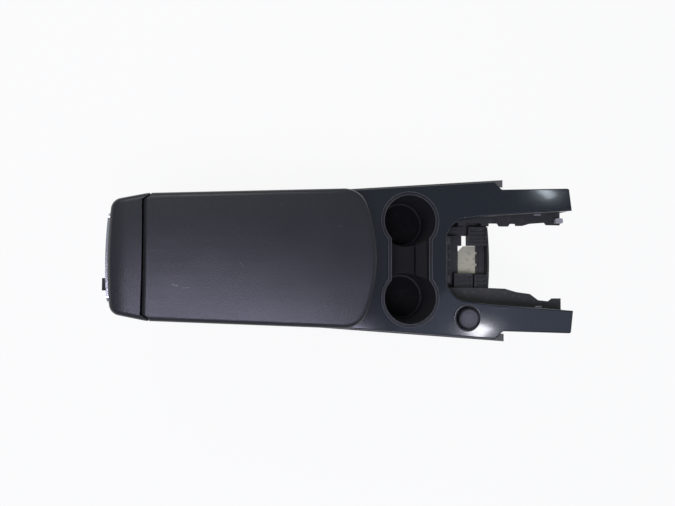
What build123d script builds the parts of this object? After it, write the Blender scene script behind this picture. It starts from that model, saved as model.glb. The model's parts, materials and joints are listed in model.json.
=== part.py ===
from build123d import *
import os
from math import asin, atan, cos, degrees, radians, sin, sqrt, tan

os.makedirs("parts", exist_ok=True)

# A car's floor console: +X to the front of the car, +Y to its left, +Z up, standing on the floor.

# Stations along the car
rear_x = -331.0  # rear face of the end cap on the centre line
gap_x = -279.0  # rear edge of the lid's top face
split_x = -24.0  # joint between bin flange and trim, under the lid
lid_front_x = 32.5  # nose of the lid
shoulder_x = 216.0  # where the trim narrows to its forks
body_front_x = 230.0  # front end of the side walls
fork_tip_x = 335.0  # inner corner of the fork tips

# Heights
deck_z = 240.0  # crown line of the trim and top of the bin flange
trim_depth = 9.0  # deck above the body's ledge
lid_lift = 4.0  # lid's underside above the deck
lid_height = 36.0  # lid and end cap at their crown
crown_radius = 1500.0  # cross crown of lid, cap and trim
beyond = 60.0  # how far cutting shapes run past what they cut
seat_gap = 0.2  # play where one piece rests on another's curved face
fit_gap = 0.4  # play around pieces that drop into openings
move_gap = 0.5  # play between pieces that move against each other

# Body shell
wall = 3.0
body_half_front = 120.6  # half width at the front end
body_half_rear = 81.0  # half width beside the lid's rear edge
body_half_tail = 72.0  # half width at the rear corners
body_corner = 12.0
body_draft = 1.5
rear_bow = 620.0  # bow of the rear end seen from above
end_inset = 4.0  # how far the body's rear lies inside the cap's
ledge_width = 8.0
rim_round = 1.5
floor_flange = 18.0  # foot turned inwards along the floor
foot_cut_x = 150.0  # foot ends here, above it the front rises
foot_cut_z = 72.0
side_recess = 1.2  # depth of the sunk field in each side
field_margin = 22.0  # border around the sunk field
field_front_drop = 45.0  # sunk field below the ledge, at its front and rear
field_rear_drop = 81.0
floor_bolt_r = 3.5
front_bolt_x = 110.0
rear_bolt_x = -250.0
floor_bolt_inset = 16.0  # hole centre from the outside of the wall at the foot

# Rear panel and vent
panel_wall = 3.0
panel_inset = 6.0  # panel inside the body's rear corners
panel_foot_z = 14.0
panel_drop = 4.0  # panel's head below the ledge
panel_corner = 10.0
window_border = 8.0  # panel overlap around the window in the body
vent_drop = 34.5  # outlets below the ledge
vent_y = 29.0  # centre of each outlet from the centre line
outlet_half = 25.0  # half width of each outlet
outlet_rise = 20.0  # half height of each outlet
housing_wall = 2.0
housing_depth = 38.0
pod_wall = 11.0  # depth of the pod behind the rear panel
pod_inset = 2.5  # pod inside the bezel
bezel_wall = 4.5
bezel_border = 10.0
bezel_lip = 2.0  # how far the bezel reaches in over each outlet
bezel_corner = 9.0
vane_chord = 17.0
vane_thick = 2.4
vane_pitch = 12.5
vane_x = -315.5
vane_pin_r = 1.3
vane_pin_reach = 1.5  # depth of the pivot in the housing wall
crank_arm = 6.0
crank_pin_r = 1.0
link_wall = 3.0
link_width = 4.4
link_tail = 3.0  # link past its end pins
pivot_play = 0.06
tab_half = 9.0  # thumb tab on the middle vane
tab_off = 9.0  # tab from the outlet's centre, away from the centre line
tab_reach = 36.0
short_tab_reach = 24.0  # left tab, which stays behind the bezel's edge
tab_thick = 5.0
duct_wall = 1.6
duct_overlap = 11.0  # duct slipped over the housing
duct_run = 40.0  # from the duct's mouth to its front face
duct_depth = 24.0  # down pipe, front to rear
duct_foot_z = 4.0
duct_round = 16.0

# Armrest lid and end cap
lid_front_inset = 7.0  # lid's front corners inside the body's side
lid_overhang = 5.0  # lid past the body's side at its rear edge
cap_overhang = 4.0  # end cap past the body's rear corners
lid_nose_radius = 215.0
lid_corner = 34.0
cap_corner = 16.0
waist_round = 60.0
edge_round = 8.0
hinge_drop = 16.0  # hinge line below the lid's top
hinge_ahead = 16.0  # hinge line in front of the gap
tail_gap = 4.0  # gap between lid and cap
tail_end_gap = 0.6  # that gap closes up to this at its ends
tail_bend = 9.0  # straight part of the gap ends this far inside the lid's side
tail_flare = 4.0  # bent part runs this far past the lid's side
tail_end_radius = 9.0
cap_front_reach = 14.0  # cap stays this far behind the hinge line
cap_skirt = 3.0  # cap below the ledge
cap_wall = 3.0
cap_seat = 9.0  # cap wall where it rests on the ledge
pad_wall = 3.0  # pad around the inner panel
pad_foot = 0.5  # pad edge above the panel's underside
panel_rise = 12.0  # depth of the lid's inner panel
lid_panel_wall = 2.5
pad_roof = 8.5  # pad left over the hinge
hinge_pocket_half = 54.0
hinge_pocket_x = -240.0  # rear edge of the inner panel

# Hinge
pin_r = 3.0
pin_play = 0.05
pin_head_r = 5.0
pin_head = 1.5
knuckle_r = 6.5
ear_half = 36.0  # outer face of the bracket's ears
ear_wall = 3.0
bracket_wall = 2.0
bracket_ahead = 18.0  # bracket in front of the hinge line
bracket_root = 13.0  # ear's foot in front of the hinge line
leaf_front_x = -182.0
leaf_wall = 2.0
screw_r = 2.0
screw_head_r = 4.0
screw_head = 2.2
screw_play = 0.15
screw_inset = 9.0

# Latch
recess_rear_x = 3.0
recess_half = 34.0
recess_rise = 18.0  # finger room above the lid's underside
recess_roof = 2.5
recess_wall = 2.5
paddle_x = 9.0  # pivot line
paddle_rise = 14.0  # pivot line above the lid's underside
paddle_barrel_r = 3.0
paddle_thick = 3.0
paddle_front_x = 27.0
paddle_pin_r = 1.5
hook_half = 7.0
hook_thick = 3.2
hook_drop = 14.5  # hook below the deck
hook_nose = 3.0
nose_rise = 4.0
hook_room = 7.0  # room in front of the hook to swing
keeper_wall = 3.0
keeper_length = 16.0
keeper_half = 14.0
spring_wall = 0.6
spring_half = 4.0
spring_length = 10.0
spring_gap = 0.4  # leaf springs short of what they press on
latch_spring_x = 14.0
latch_spring_y = 20.0

# Storage bin
bin_rear_x = -236.0
bin_front_x = -35.0
bin_margin = 14.2  # bin side inside the body's side
bin_floor_z = 72.0
bin_wall = 2.5
bin_draft = 1.0
bin_corner = 12.0
trim_reveal = 2.7  # trim and bin flange stand in from the body's side
flange_tail = 9.0  # bin flange and its tongue run this far behind the hinge line
tongue_tail = 27.0
tongue_half = 58.0
mat_thick = 2.0
mat_gap = 1.0
stop_r = 3.4
stop_inset = 8.0  # lid stops, from the body's side
stop_rear_x = -205.0
stop_front_x = -60.0

# Gloss trim
trim_wall = 2.5
trim_round = 2.0
notch_x = 226.5
fork_root_inset = 15.3  # forks inside the body's front end, at root and tip
fork_tip_inset = 11.6
fork_width = 34.0  # at the tip
fork_slant = 3.0  # outer corner of a fork tip lies this far back
shoulder_round = 4.0
notch_round = 6.0
tip_round = 3.0
slot_base_x = 141.0
slot_base_band = 56.7  # slot inside the body's side, at its base and knee
slot_knee_x = 206.0
slot_knee_band = 53.25
slot_corner = 33.0
slot_knee_round = 150.0

# Cup holder
cup_x = 86.5
cup_inset = 53.15  # cup centre inside the body's side
cup_radius = 38.2
cup_floor_radius = 34.0
cup_depth = 74.0
cup_wall = 2.2
rim_width = 4.4
rim_thick = 1.6
neck_half = 28.0
neck_depth = 36.0
neck_slope = 14.0  # lean of the neck's front wall
cup_mat_r = 31.0
grip_half = 14.0
grip_drop = 16.0  # grip pivot below the deck
grip_length = 32.0
grip_bulge = 8.0
grip_pin_r = 1.6
grip_set_back = 2.5  # pivot behind the cup's wall
grip_thick = 2.0
grip_ear = 3.0
grip_ear_depth = 9.0
grip_spring_fix = 5.0  # spring held on the wall over this height
grip_spring_drop = 18.0

# Lighter
lighter_x = 172.0
lighter_inset = 30.9  # lighter's centre inside the body's right side
bezel_r = 20.2
bezel_thick = 1.8
bezel_bore = 16.5
bezel_tube = 1.2
well_depth = 12.0
socket_r = 10.6
socket_wall = 1.2
socket_depth = 44.0
plug_play = 0.35
sleeve_wall = 2.0
sleeve_length = 30.0
element_thick = 3.0
knob_r = 15.2
knob_rise = 9.0
knob_thick = 9.5
knob_round = 1.6
stem_length = 22.0
terminal_size = 9.0
terminal_rise = 12.0
socket_room = 6.0  # room around the socket in the cross-member

# Rails, cross-member and bracket under the shifter slot
frame_drop = 57.0  # cross-member below the deck
frame_wall = 3.0
frame_rear_x = 142.0
frame_front_x = 218.0
frame_gap = 1.0  # frame to the body's sides and to the rails' feet
frame_bow = 3.5
frame_bar_low = 8.0
frame_bar_rise = 14.0
rib_rise = 12.0
rib_wall = 2.2
rib_pitch = 6.0
rib_depth = 2.5  # grooves between the ribs of each block
apron_drop = 2.0  # apron's slotted lip below the ledge
apron_half = 34.0
lip_front_x = 149.5
dash_rear_x = 145.6
dash_front_x = 148.2
dash_length = 9.5
dash_pitch = 12.0
window_rear_x = 175.0
window_front_x = 204.0
window_left = 14.4  # window inside the rails' feet, on each side
window_right = 33.1
window_step = 28.9  # its front part is cut back by the left block
window_step_rear_x = 181.0
window_step_front_x = 188.7
crease_x = 207.5  # crease across the bar in front of the window
right_block_rear_x = 197.6
low_block_rear_x = 165.7
low_block_front_x = 194.8
low_block_gap = 9.8  # rear right block to the rail's foot
side_rib_rear_x = 152.0
boss_size = 15.0
boss_depth = 12.0
boss_rear_x = 158.0
boss_front_x = 206.0
rail_wall = 3.0
rail_height = 31.0  # rails below the ledge
rail_rear_x = 152.0
rail_front_x = 332.5
rail_shelf = 22.0  # shelf that carries the fork
shelf_gap = 4.0  # shelf starts this far in front of the lighter
rail_slot = 10.0
rail_slot_height = 4.0
rail_slot_rear_x = 193.0
rail_slot_front_x = 241.0
rail_foot = 12.0
rail_foot_rear_x = 176.0
rail_foot_front_x = 212.0
clip_x = 287.0
clip_length = 10.0
clip_height = 7.0
clip_wall = 0.8
pad_length = 12.0
pad_width = 8.0
pad_height = 6.0
pad_inset = 2.4  # pad from the foot flange's edge
pad_past = 2.4  # pad past the rail's tip
plate_rear_x = 173.0
plate_wall = 2.0
plate_clip = 12.0  # cut-off corner
plate_lap = 4.0  # plate under the cross-member
plate_tab = 2.2  # notches in the window that show the plate
plate_tab_width = 4.4
plate_tab_left = 12.2
plate_tab_right = -6.2

# How far each rail's foot flange stands in from the slot's knee, front of the frame to the tip
left_rail_foot = [
    (210.0, 8.0),
    (232.0, 8.0),
    (235.0, 12.3),
    (249.0, 12.3),
    (252.0, 8.1),
    (260.5, 8.1),
    (261.5, 11.1),
    (272.0, 11.1),
    (284.0, 7.6),
    (308.0, 5.7),
    (311.0, 9.4),
    (rail_front_x, 9.4),
]
right_rail_foot = [
    (208.0, 24.0),
    (243.0, 22.6),
    (261.0, 17.5),
    (283.0, 14.5),
    (296.0, 5.0),
    (313.0, 3.2),
    (319.0, 7.7),
    (rail_front_x, 7.7),
]


def draft_in(z):
    """How far the drafted body has drawn in at height z."""
    return (ledge_z - z) * tan(radians(body_draft))


def body_half(x):
    """Half width of the body at station x."""
    slope = (body_half_front - body_half_rear) / (body_front_x - gap_x)
    return body_half_rear + (x - gap_x) * slope


def bow_x(inset, y):
    """Station of the bowed rear end, inset from the end cap's rear face."""
    return rear_x + rear_bow - sqrt((rear_bow - inset) ** 2 - y**2)


def crown_z(top_z, y):
    """Height of a crowned face at y."""
    return top_z - crown_radius + sqrt(crown_radius**2 - y**2)


# Derived places
ledge_z = deck_z - trim_depth
lid_base_z = deck_z + lid_lift
lid_top_z = lid_base_z + lid_height
panel_half = body_half_tail - panel_inset
vent_z = ledge_z - vent_drop
lid_half_front = body_half(lid_front_x) - lid_front_inset
lid_half_rear = body_half_rear + lid_overhang
cap_half_tail = body_half_tail + cap_overhang
fork_half_root = body_half_front - fork_root_inset
fork_half_tip = body_half_front - fork_tip_inset
slot_half_base = body_half(slot_base_x) - slot_base_band
slot_half_knee = body_half(slot_knee_x) - slot_knee_band
slot_half_tip = fork_half_tip - fork_width
cup_y = body_half(cup_x) - cup_inset
lighter_y = lighter_inset - body_half(lighter_x)
frame_z = deck_z - frame_drop
rail_low_z = ledge_z - rail_height
hinge_x = gap_x + hinge_ahead
hinge_z = lid_top_z - hinge_drop
tail_radius = sqrt(hinge_drop**2 + hinge_ahead**2)
hinge_axis = Axis((hinge_x, 0, hinge_z), (0, 1, 0))
lid_panel_z = lid_base_z + panel_rise
bracket_rear_x = hinge_x - knuckle_r - bracket_wall
bracket_front_x = hinge_x + bracket_ahead
flange_rear_x = hinge_x - flange_tail
tongue_rear_x = hinge_x - tongue_tail
bracket_screw_x = bracket_front_x - screw_inset
bracket_screw_y = ear_half - ear_wall - screw_inset
bracket_screws_y = [bracket_screw_y * step / 3 for step in (-3, -1, 1, 3)]
cup_floor_z = deck_z - cup_depth
cup_taper = degrees(atan((cup_radius - cup_floor_radius) / cup_depth))
neck_floor_z = deck_z - neck_depth
housing_half = vent_y + outlet_half + housing_wall
housing_rise = outlet_rise + housing_wall
paddle_z = lid_base_z + paddle_rise
trim_under_z = deck_z - trim_wall
lighter_lean = asin(lighter_y / crown_radius)
lighter_axis = (0, sin(lighter_lean), cos(lighter_lean))
foot_half = slot_half_knee - rail_foot - frame_gap
far = fork_tip_x - rear_x
pod_seat = panel_wall + 2 * seat_gap
bezel_seat = pod_seat + pod_wall + seat_gap
tab_tip_x = vane_x - vane_chord / 2 + vane_thick - tab_reach
origin_x = (tab_tip_x + fork_tip_x) / 2  # the part's origin, midway along its length


def corners(x, y):
    """The mirrored pair of outline corners nearest to (x, y)."""
    return [vertices().sort_by_distance((x, side * y))[0] for side in (1, -1)]


def body_plan(inset, front_x, rear_inset):
    """Outline of the body seen from above."""
    front_half = body_half(front_x) - inset
    gap_half = body_half_rear - inset
    tail_half = body_half_tail - inset
    tail_x = bow_x(rear_inset, tail_half)
    with BuildLine() as outline:
        Polyline(
            (tail_x, tail_half),
            (gap_x, gap_half),
            (front_x, front_half),
            (front_x, -front_half),
            (gap_x, -gap_half),
            (tail_x, -tail_half),
        )
        ThreePointArc((tail_x, -tail_half), (bow_x(rear_inset, 0), 0), (tail_x, tail_half))
    make_face(outline.edges())
    fillet(corners(tail_x, tail_half), radius=body_corner)


def loaf_plan(inset):
    """Outline of lid and end cap together, seen from above."""
    nose_x = lid_front_x - lid_nose_radius + sqrt(lid_nose_radius**2 - lid_half_front**2)
    tail_x = bow_x(0, cap_half_tail)
    with BuildLine() as outline:
        Polyline((tail_x, cap_half_tail), (gap_x, lid_half_rear), (nose_x, lid_half_front))
        Polyline((tail_x, -cap_half_tail), (gap_x, -lid_half_rear), (nose_x, -lid_half_front))
        ThreePointArc((nose_x, lid_half_front), (lid_front_x, 0), (nose_x, -lid_half_front))
        ThreePointArc((tail_x, cap_half_tail), (rear_x, 0), (tail_x, -cap_half_tail))
    make_face(outline.edges())
    fillet(corners(nose_x, lid_half_front), radius=lid_corner)
    fillet(corners(tail_x, cap_half_tail), radius=cap_corner)
    fillet(corners(gap_x, lid_half_rear), radius=waist_round)
    if inset:
        offset(amount=-inset, mode=Mode.REPLACE)


def trim_plan():
    """Outline of the trim without its openings."""
    rear_half = body_half(split_x) - trim_reveal
    shoulder_half = body_half(shoulder_x) - trim_reveal
    side = [
        (split_x, rear_half),
        (shoulder_x, shoulder_half),
        (notch_x, fork_half_root),
        (fork_tip_x - fork_slant, fork_half_tip),
        (fork_tip_x, slot_half_tip),
    ]
    with BuildLine() as outline:
        Polyline(*side, *[(x, -y) for x, y in reversed(side)], close=True)
    make_face(outline.edges())
    fillet(corners(shoulder_x, shoulder_half), radius=shoulder_round)
    fillet(corners(notch_x, fork_half_root), radius=notch_round)
    fillet(corners(fork_tip_x - fork_slant, fork_half_tip), radius=tip_round)


def slot_plan(grow, mode):
    """The shifter slot, open at the front, grown outwards by a margin."""
    slope = (slot_half_tip - slot_half_knee) / (fork_tip_x - slot_knee_x)
    end_x = fork_tip_x + beyond
    end_half = slot_half_tip + slope * beyond
    side = [(slot_base_x, slot_half_base), (slot_knee_x, slot_half_knee), (end_x, end_half)]
    with BuildSketch(mode=Mode.PRIVATE) as slot:
        with BuildLine():
            Polyline(*side, *[(x, -y) for x, y in reversed(side)], close=True)
        make_face()
        fillet(corners(slot_base_x, slot_half_base), radius=slot_corner)
        fillet(corners(slot_knee_x, slot_half_knee), radius=slot_knee_round)
        if grow:
            offset(amount=grow, mode=Mode.REPLACE)
    add(slot.sketch, mode=mode)


def crop_to_crown(top_z, low_z, mode):
    """Keep, or take away, what lies under a crowned face and above low_z."""
    reach = body_half_front
    side_z = crown_z(top_z, reach)
    with BuildSketch(Plane.YZ) as section:
        with BuildLine():
            ThreePointArc((-reach, side_z), (0, top_z), (reach, side_z))
            Polyline((reach, side_z), (reach, low_z), (-reach, low_z), (-reach, side_z))
        make_face()
    extrude(section.sketch, amount=far, both=True, mode=mode)


def add_loaf(low_z):
    """Lid and end cap as one crowned block with a rounded top edge."""
    with BuildSketch(Plane.XY.offset(low_z)) as plan:
        loaf_plan(0)
    extrude(plan.sketch, amount=lid_top_z - low_z + beyond)
    crop_to_crown(lid_top_z, low_z, Mode.INTERSECT)
    fillet(faces().sort_by(Axis.Z)[-1].edges(), radius=edge_round)


def turn_spool(grow, mode):
    """The shape the lid's tail sweeps about the hinge line."""
    tail_end_y = lid_half_rear + tail_flare
    side = [
        (hinge_x - tail_radius - grow, lid_half_rear - tail_bend),
        (hinge_x - tail_end_radius - min(grow, tail_end_gap), tail_end_y),
    ]
    with BuildSketch(Plane.XY.offset(hinge_z)) as profile:
        with BuildLine():
            Polyline(
                (hinge_x, -tail_end_y - beyond),
                (side[1][0], -tail_end_y - beyond),
                (side[1][0], -side[1][1]),
                (side[0][0], -side[0][1]),
                *side,
                (side[1][0], tail_end_y + beyond),
                (hinge_x, tail_end_y + beyond),
                close=True,
            )
        make_face()
    revolve(profile.sketch, axis=hinge_axis, mode=mode)


def rear_skin(inner, outer):
    """A skin that follows the body's drafted rear, between two distances from it."""
    with BuildSketch(Plane.XY.offset(ledge_z)) as outside:
        body_plan(-outer, gap_x + beyond, end_inset - outer)
    extrude(outside.sketch, amount=-ledge_z, taper=body_draft)
    with BuildSketch(Plane.XY.offset(ledge_z)) as inside:
        body_plan(-inner, gap_x + 2 * beyond, end_inset - inner)
    extrude(inside.sketch, amount=-ledge_z, taper=body_draft, mode=Mode.SUBTRACT)


def block(x0, x1, y0, y1, z0, z1, mode=Mode.ADD):
    """A box between two corners."""
    with Locations(((x0 + x1) / 2, (y0 + y1) / 2, (z0 + z1) / 2)):
        Box(abs(x1 - x0), abs(y1 - y0), abs(z1 - z0), mode=mode)


def rod(x, z, radius, y0, y1, mode=Mode.ADD):
    """A round bar or bore along Y."""
    with Locations((x, (y0 + y1) / 2, z)):
        Cylinder(radius, abs(y1 - y0), rotation=(90, 0, 0), mode=mode)


def dumbbell(radius, half):
    """Outline of the two cups and the neck between them."""
    with Locations((cup_x, cup_y), (cup_x, -cup_y)):
        Circle(radius)
    with Locations((cup_x, 0)):
        Rectangle(2 * half, 2 * cup_y)


def finish(piece, name):
    """Name a piece and write its file."""
    placed = piece.part.moved(Location((-origin_x, 0, 0)))
    placed.label = name
    export_step(placed, "parts/" + name + ".step")


# Body: side walls and rear wall in one moulding, with a ledge at the top and a foot along the floor
foot_inset = draft_in(0)
with BuildPart() as side_field:
    with BuildSketch(Plane.XZ):
        with BuildLine():
            Polyline(
                (gap_x + field_margin, field_margin),
                (foot_cut_x - 2 * field_margin, field_margin),
                (body_front_x - field_margin, foot_cut_z + field_margin),
                (body_front_x - field_margin, ledge_z - field_front_drop),
                (gap_x + field_margin, ledge_z - field_rear_drop),
                close=True,
            )
        make_face()
        fillet(vertices(), radius=field_margin / 2)
    extrude(amount=body_half_front + beyond, both=True)
    with BuildSketch(Plane.XY.offset(ledge_z)):
        body_plan(side_recess, body_front_x + beyond, end_inset)
    extrude(amount=-ledge_z, taper=body_draft, mode=Mode.SUBTRACT)

with BuildPart() as console_body:
    with BuildSketch(Plane.XY.offset(ledge_z)):
        body_plan(0, body_front_x, end_inset)
    extrude(amount=-ledge_z, taper=body_draft)
    fillet(faces().sort_by(Axis.Z)[-1].edges(), radius=rim_round)
    with BuildSketch(Plane.XY.offset(ledge_z - wall)):
        body_plan(wall, body_front_x + beyond, end_inset + wall)
    extrude(amount=2 * wall - ledge_z, taper=body_draft, mode=Mode.SUBTRACT)
    with BuildSketch(Plane.XY.offset(ledge_z - 2 * wall)):
        body_plan(wall + ledge_width, body_front_x + beyond, end_inset + wall + ledge_width)
    extrude(amount=4 * wall, mode=Mode.SUBTRACT)
    foot_cut = foot_inset + wall + floor_flange
    with BuildSketch(Plane.XY.offset(-wall)):
        body_plan(foot_cut, body_front_x + beyond, end_inset + foot_cut)
    extrude(amount=3 * wall, mode=Mode.SUBTRACT)
    with BuildSketch(Plane.XZ):
        with BuildLine():
            Polyline(
                (foot_cut_x, -wall),
                (body_front_x + beyond, -wall),
                (body_front_x + beyond, foot_cut_z),
                (body_front_x, foot_cut_z),
                close=True,
            )
        make_face()
    extrude(amount=body_half_front + beyond, both=True, mode=Mode.SUBTRACT)
    block(
        rear_x - beyond,
        bow_x(end_inset + wall, 0) + floor_flange,
        window_border - panel_half,
        panel_half - window_border,
        panel_foot_z + window_border,
        ledge_z - panel_drop - window_border,
        Mode.SUBTRACT,
    )
    for boss_x in (boss_rear_x, boss_front_x):
        for side in (1, -1):
            outer = body_half(boss_x) - wall
            block(
                boss_x - boss_size / 2,
                boss_x + boss_size / 2,
                side * (outer - boss_size),
                side * outer,
                frame_z - frame_wall - boss_depth,
                frame_z - frame_wall,
            )
            with Locations((boss_x, side * (outer - boss_size / 2), frame_z - frame_wall)):
                Hole(screw_r + screw_play, depth=boss_depth)
    add(side_field.part, mode=Mode.SUBTRACT)
    for bolt_x in (front_bolt_x, rear_bolt_x):
        for side in (1, -1):
            bolt_y = body_half(bolt_x) - foot_inset - floor_bolt_inset
            with Locations((bolt_x, side * bolt_y, wall)):
                Hole(floor_bolt_r, depth=2 * wall)
finish(console_body, "console_body")

# Storage bin with its flange, a tongue behind it carries the hinge
flange_z = deck_z
with BuildPart() as storage_bin:
    with BuildSketch(Plane.XY.offset(ledge_z)):
        body_plan(trim_reveal, split_x - fit_gap, end_inset + trim_reveal)
        with Locations(((rear_x + flange_rear_x) / 2 - beyond, 0)):
            Rectangle(flange_rear_x - rear_x + 2 * beyond, far, mode=Mode.SUBTRACT)
        with Locations(((tongue_rear_x + flange_rear_x) / 2, 0)):
            Rectangle(flange_rear_x - tongue_rear_x, 2 * tongue_half)
    extrude(amount=flange_z - ledge_z)
    with BuildSketch(Plane.XY.offset(ledge_z)):
        body_plan(trim_reveal, split_x - fit_gap, end_inset + trim_reveal)
        with Locations(((rear_x + flange_rear_x) / 2 - beyond, 0)):
            Rectangle(flange_rear_x - rear_x + 2 * beyond, far, mode=Mode.SUBTRACT)
        with Locations(((tongue_rear_x + flange_rear_x) / 2, 0)):
            Rectangle(flange_rear_x - tongue_rear_x, 2 * tongue_half)
        offset(amount=-bin_wall, mode=Mode.REPLACE)
    extrude(amount=flange_z - ledge_z - bin_wall, mode=Mode.SUBTRACT)
    rear_half = body_half(bin_rear_x) - bin_margin
    front_half = body_half(bin_front_x) - bin_margin
    for shell, top_z, low_z in ((bin_wall, flange_z, bin_floor_z - bin_wall), (0, flange_z, bin_floor_z)):
        with BuildSketch(Plane.XY.offset(top_z)):
            with BuildLine():
                Polyline(
                    (bin_rear_x - shell, rear_half + shell),
                    (bin_front_x + shell, front_half + shell),
                    (bin_front_x + shell, -front_half - shell),
                    (bin_rear_x - shell, -rear_half - shell),
                    close=True,
                )
            make_face()
            fillet(vertices(), radius=bin_corner + shell)
        extrude(amount=low_z - top_z, taper=bin_draft, mode=Mode.ADD if shell else Mode.SUBTRACT)
    for screw_y in bracket_screws_y:
        with Locations((bracket_screw_x, screw_y, flange_z)):
            Hole(screw_r + screw_play, depth=bin_wall)
finish(storage_bin, "storage_bin")

mat_draft = (flange_z - bin_floor_z) * tan(radians(bin_draft)) + mat_gap
with BuildPart() as bin_mat:
    with BuildSketch(Plane.XY.offset(bin_floor_z)):
        with BuildLine():
            Polyline(
                (bin_rear_x + mat_draft, rear_half - mat_draft),
                (bin_front_x - mat_draft, front_half - mat_draft),
                (bin_front_x - mat_draft, mat_draft - front_half),
                (bin_rear_x + mat_draft, mat_draft - rear_half),
                close=True,
            )
        make_face()
        fillet(vertices(), radius=bin_corner - mat_gap)
    extrude(amount=mat_thick)
finish(bin_mat, "bin_mat")

# Rubber stops between bin flange and lid
with BuildPart() as lid_stops:
    for stop_x in (stop_rear_x, stop_front_x):
        for side in (1, -1):
            with BuildSketch(Plane.XY.offset(flange_z)):
                with Locations((stop_x, side * (body_half(stop_x) - stop_inset))):
                    Circle(stop_r)
            extrude(amount=lid_base_z - flange_z)
finish(lid_stops, "lid_stops")

# Gloss trim: crowned panel with a turned-down edge
with BuildPart() as trim_void:
    with BuildSketch(Plane.XY.offset(ledge_z)):
        trim_plan()
        slot_plan(0, Mode.SUBTRACT)
        offset(amount=-trim_wall, mode=Mode.REPLACE)
    extrude(amount=deck_z - ledge_z + beyond)
    crop_to_crown(trim_under_z, ledge_z, Mode.INTERSECT)

lighter_plane = Plane((lighter_x, lighter_y, crown_z(deck_z, lighter_y)), (1, 0, 0), lighter_axis)
with BuildPart() as top_trim:
    with BuildSketch(Plane.XY.offset(ledge_z)):
        trim_plan()
        slot_plan(0, Mode.SUBTRACT)
    extrude(amount=deck_z - ledge_z + beyond)
    crop_to_crown(deck_z, ledge_z, Mode.INTERSECT)
    fillet(faces().sort_by(Axis.Z)[-1].edges(), radius=trim_round)
    add(trim_void.part, mode=Mode.SUBTRACT)
    with BuildSketch(Plane.XY.offset(ledge_z)):
        dumbbell(cup_radius + cup_wall + fit_gap, neck_half + cup_wall + fit_gap)
    extrude(amount=2 * (deck_z - ledge_z), mode=Mode.SUBTRACT)
    with BuildSketch(lighter_plane):
        Circle(bezel_bore + bezel_tube + fit_gap)
    extrude(amount=beyond, both=True, mode=Mode.SUBTRACT)
    block(
        paddle_x - hook_thick / 2 - hook_nose - move_gap,
        paddle_x + hook_thick / 2 + hook_room,
        -hook_half - move_gap,
        hook_half + move_gap,
        ledge_z,
        deck_z + beyond,
        Mode.SUBTRACT,
    )
finish(top_trim, "top_trim")

# Cup holder: two tapered cups, a shallower neck and a thin rim lying on the trim
with BuildPart() as cup_holder:
    with BuildSketch(Plane.XY.offset(ledge_z)):
        dumbbell(cup_radius + rim_width, neck_half + rim_width)
    extrude(amount=deck_z - ledge_z + beyond)
    crop_to_crown(deck_z + seat_gap, ledge_z, Mode.SUBTRACT)
    cup_top = deck_z + rim_thick + seat_gap
    with BuildSketch(Plane.XY.offset(cup_floor_z - cup_wall)):
        with Locations((cup_x, cup_y), (cup_x, -cup_y)):
            Circle(cup_floor_radius + cup_wall)
    extrude(amount=cup_top - cup_floor_z + cup_wall, taper=-cup_taper)
    block(
        cup_x - neck_half - cup_wall,
        cup_x + neck_half + cup_wall,
        -cup_y,
        cup_y,
        neck_floor_z - cup_wall,
        cup_top,
    )
    with BuildSketch(Plane.XY.offset(cup_floor_z)):
        with Locations((cup_x, cup_y), (cup_x, -cup_y)):
            Circle(cup_floor_radius)
    extrude(amount=cup_top - cup_floor_z + rim_thick, taper=-cup_taper, mode=Mode.SUBTRACT)
    with BuildSketch(Plane.XZ):
        with BuildLine():
            Polyline(
                (cup_x - neck_half, neck_floor_z),
                (cup_x + neck_half - neck_slope, neck_floor_z),
                (cup_x + neck_half, deck_z),
                (cup_x + neck_half, deck_z + beyond),
                (cup_x - neck_half, deck_z + beyond),
                close=True,
            )
        make_face()
    extrude(amount=cup_y, both=True, mode=Mode.SUBTRACT)
    crop_to_crown(cup_top, cup_floor_z - beyond, Mode.INTERSECT)
    grip_z = deck_z - grip_drop
    grip_x = cup_x - cup_radius - grip_set_back
    for side in (1, -1):
        mid_y = side * cup_y
        for ear_side in (1, -1):
            inner_y = mid_y + ear_side * (grip_half + move_gap)
            block(
                grip_x - grip_ear_depth / 2,
                grip_x + grip_ear_depth,
                inner_y,
                inner_y + ear_side * grip_ear,
                grip_z - grip_ear_depth / 2,
                grip_z + grip_ear_depth / 2,
            )
        block(
            grip_x - grip_ear_depth,
            cup_x - cup_radius / 2,
            mid_y - grip_half - move_gap,
            mid_y + grip_half + move_gap,
            grip_z - grip_length - 2 * grip_thick,
            grip_z + 3 * grip_thick,
            Mode.SUBTRACT,
        )
        reach = grip_half + move_gap + grip_ear
        rod(grip_x, grip_z, grip_pin_r + pivot_play, mid_y - reach, mid_y + reach, Mode.SUBTRACT)
        with BuildSketch(Plane.XY.offset(cup_floor_z)):
            with Locations((cup_x, mid_y)):
                Circle(cup_floor_radius)
        extrude(amount=deck_z - cup_floor_z - rim_thick, taper=-cup_taper, mode=Mode.SUBTRACT)
finish(cup_holder, "cup_holder")

for side, name in ((1, "cup_mat_left"), (-1, "cup_mat_right")):
    with BuildPart() as cup_mat:
        with BuildSketch(Plane.XY.offset(cup_floor_z)):
            with Locations((cup_x, side * cup_y)):
                Circle(cup_mat_r)
        extrude(amount=mat_thick)
    finish(cup_mat, name)

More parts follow.
